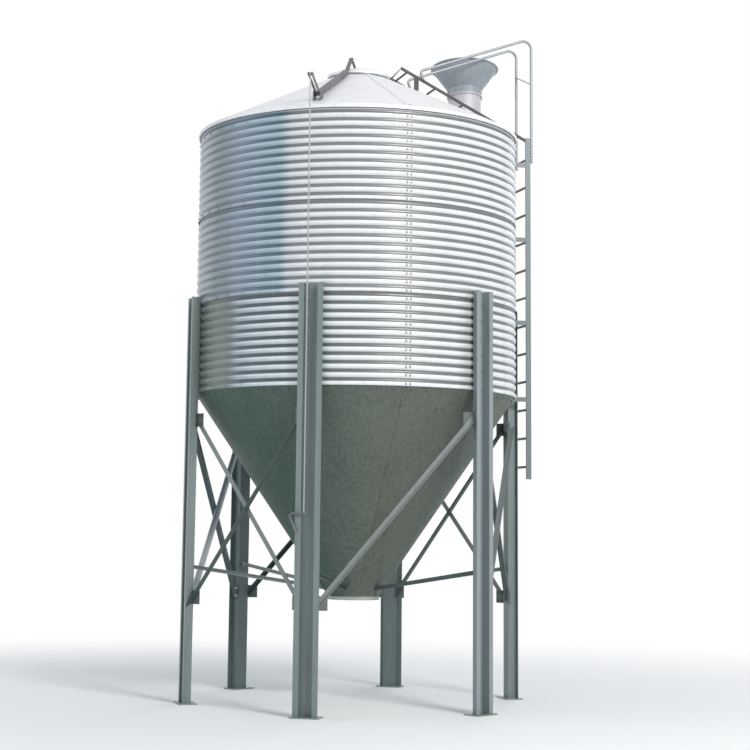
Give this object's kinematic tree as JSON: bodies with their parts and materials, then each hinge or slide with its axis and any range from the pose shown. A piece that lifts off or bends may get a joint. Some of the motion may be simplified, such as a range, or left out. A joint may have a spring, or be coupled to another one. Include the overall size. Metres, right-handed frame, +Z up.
{
  "type": "feed silo",
  "caption": "Corrugated hopper-bottom feed silo on legs, with cone roof, lid worked by a lever and pull rod, filler funnel, ladder and handrails.",
  "frame": {"origin": "on the silo's axis at ground level, under the base plates", "axes": "+Z up along the silo's axis; -Y is the front, where the lid's pull rod hangs; +X is the side with the ladder"},
  "size_m": [3.0245, 2.9398, 5.8012],
  "materials": {
    "wall_sheet": "corrugated galvanised sheet, satin",
    "hopper_sheet": "smooth galvanised sheet, dull and weathered",
    "roof_sheet": "smooth galvanised sheet, satin",
    "leg_steel": "galvanised pressed steel, satin",
    "brace_steel": "galvanised angle bar, satin",
    "funnel_sheet": "galvanised sheet, dull",
    "neck_steel": "galvanised tube, weathered",
    "ladder_steel": "galvanised steel, satin",
    "lever_steel": "weathered steel, dull"
  },
  "bodies": {
    "silo": {"brace_bay_1": "brace_steel", "brace_bay_2": "brace_steel", "brace_bay_3": "brace_steel", "brace_bay_4": "brace_steel", "brace_bay_5": "brace_steel", "brace_bay_6": "brace_steel", "brace_gussets": "brace_steel", "eave_ring": "leg_steel", "filler_funnel": "funnel_sheet", "filler_neck": "neck_steel", "handrail_far": "ladder_steel", "handrail_near": "ladder_steel", "hopper_panel_1": "hopper_sheet", "hopper_panel_2": "hopper_sheet", "hopper_panel_3": "hopper_sheet", "hopper_struts": "brace_steel", "ladder_brackets": "ladder_steel", "leg_1": "leg_steel", "leg_2": "leg_steel", "leg_3": "leg_steel", "leg_4": "leg_steel", "leg_5": "leg_steel", "leg_6": "leg_steel", "leg_base_plates": "leg_steel", "lever_bracket": "lever_steel", "outlet_collar": "hopper_sheet", "rail_cross_bar": "ladder_steel", "roof_collar": "roof_sheet", "roof_ladder": "ladder_steel", "roof_ladder_feet": "ladder_steel", "roof_panel_1": "roof_sheet", "roof_panel_2": "roof_sheet", "roof_panel_3": "roof_sheet", "wall_ladder": "ladder_steel", "wall_ring_1_sheet_1": "wall_sheet", "wall_ring_1_sheet_2": "wall_sheet", "wall_ring_1_sheet_3": "wall_sheet", "wall_ring_2_sheet_1": "wall_sheet", "wall_ring_2_sheet_2": "wall_sheet", "wall_ring_2_sheet_3": "wall_sheet", "wall_ring_3_sheet_1": "wall_sheet", "wall_ring_3_sheet_2": "wall_sheet", "wall_ring_3_sheet_3": "wall_sheet"},
    "lid_with_lever": {"lid": "roof_sheet", "lid_hanger": "lever_steel", "lid_lever": "lever_steel"},
    "pull_rod_with_handle": {"pull_rod": "lever_steel", "rod_handle": "lever_steel"}
  },
  "joints": [
    {"name": "lid_hinge", "type": "hinge", "parent": "silo", "child": "lid_with_lever", "pos_m": [-0.32939, -1.19573, 4.92277], "axis": [0.9694, -0.2453, 0], "range_deg": [0, 50]},
    {"name": "rod_hinge", "type": "hinge", "parent": "lid_with_lever", "child": "pull_rod_with_handle", "pos_m": [-0.38608, -1.41978, 5.03054], "axis": [0.9694, -0.2453, 0], "range_deg": [-50, 0]}
  ],
  "couplings": [
    {"joint": "rod_hinge", "follows": "lid_hinge", "ratio": -1}
  ]
}
